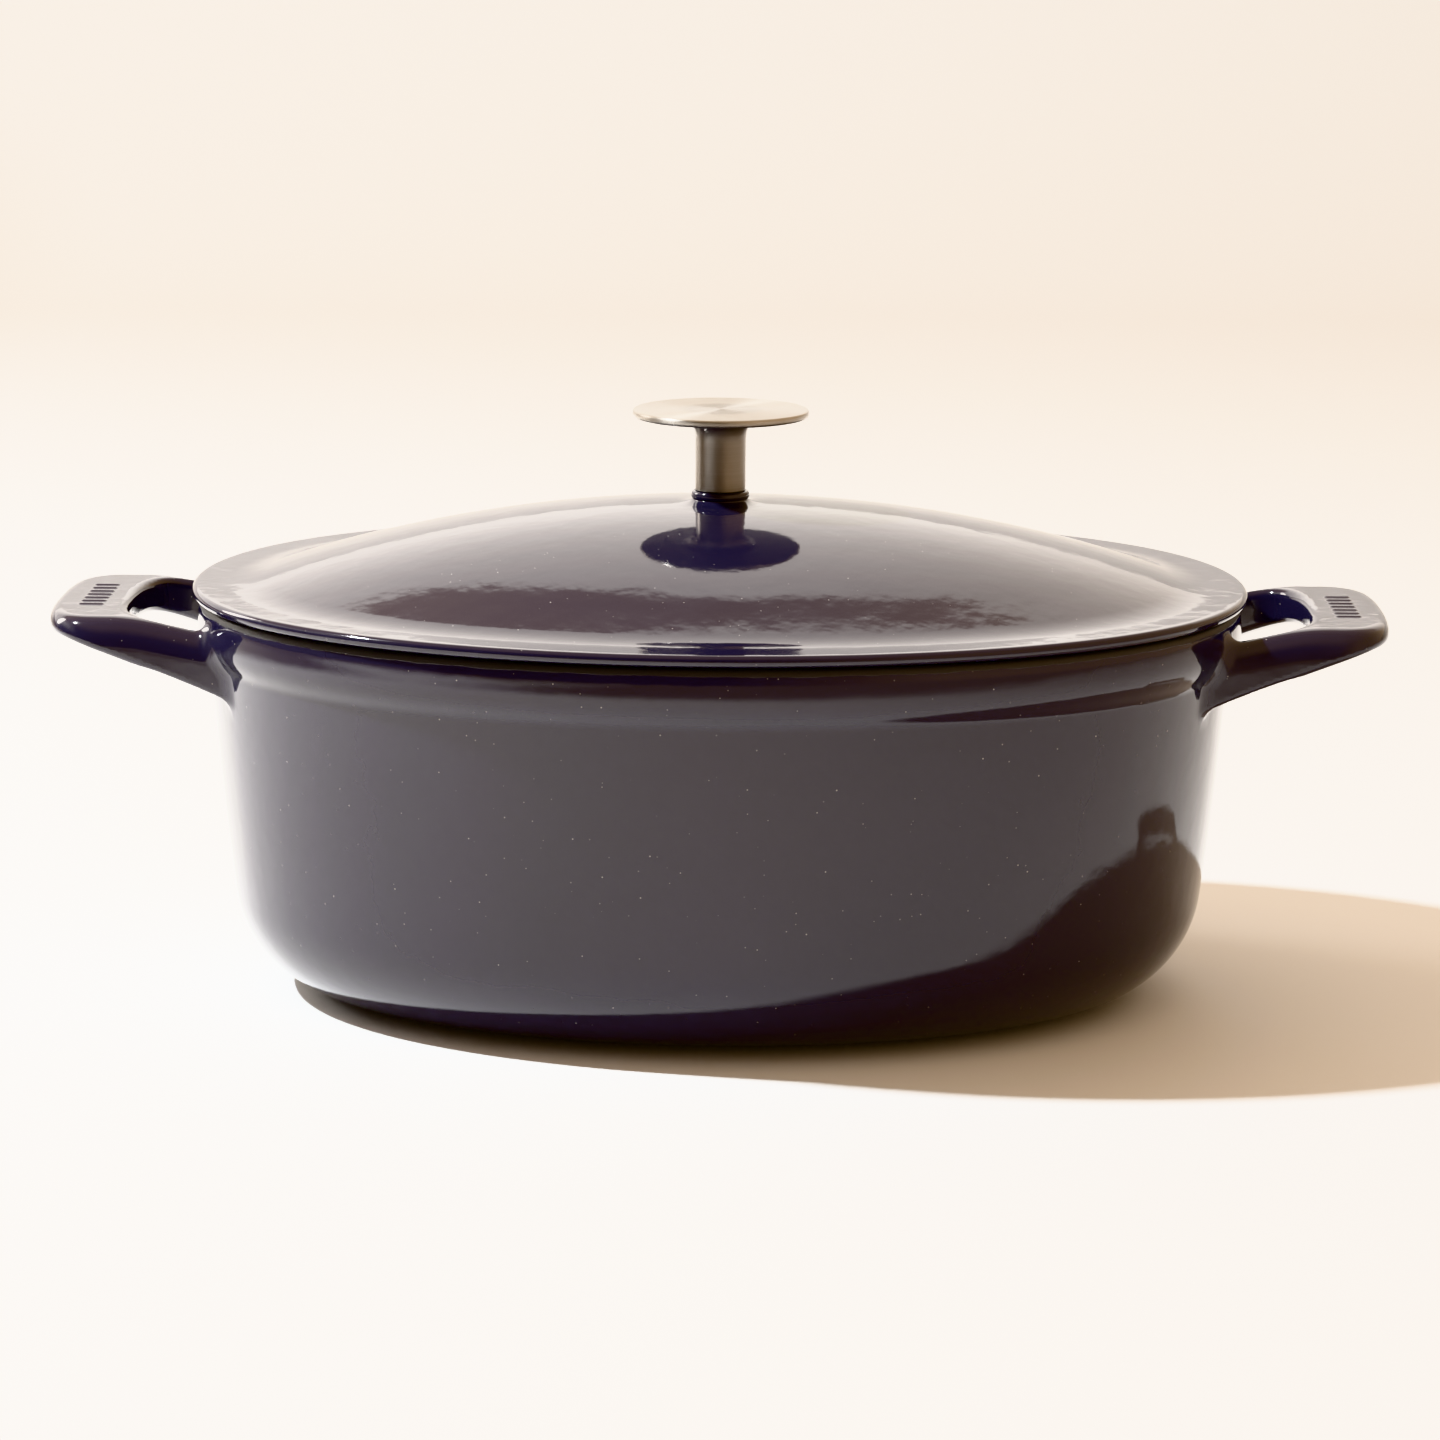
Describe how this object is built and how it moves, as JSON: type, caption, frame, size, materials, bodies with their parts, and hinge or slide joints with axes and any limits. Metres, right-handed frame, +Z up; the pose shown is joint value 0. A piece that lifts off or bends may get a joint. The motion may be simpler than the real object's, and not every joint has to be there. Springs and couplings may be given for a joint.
{
  "type": "oval dutch oven",
  "caption": "Oval enamelled cast-iron cooking pot with two cast loop handles and a domed lift-off lid with a turned steel knob.",
  "frame": {"origin": "on the surface it stands on, under the middle of the pot", "axes": "+X along the length from handle to handle, +Y across the width, +Z up"},
  "size_m": [0.4392, 0.268, 0.1927],
  "materials": {
    "enamelled_pot": "navy gloss vitreous enamel outside, pale enamel inside",
    "enamelled_lid": "navy gloss vitreous enamel outside, pale enamel inside",
    "brushed_knob": "turned and brushed stainless steel",
    "fastener_steel": "plain turned stainless steel"
  },
  "bodies": {
    "pot": {"pot_body": "enamelled_pot"},
    "lid": {"lid": "enamelled_lid", "knob": "brushed_knob", "knob_screw": "fastener_steel", "flat_washer": "fastener_steel", "lock_washer": "fastener_steel"}
  },
  "joints": [
    {"name": "lid_lift", "type": "slide", "parent": "pot", "child": "lid", "axis": [0, 0, 1], "range_m": [0, 0.2]}
  ]
}
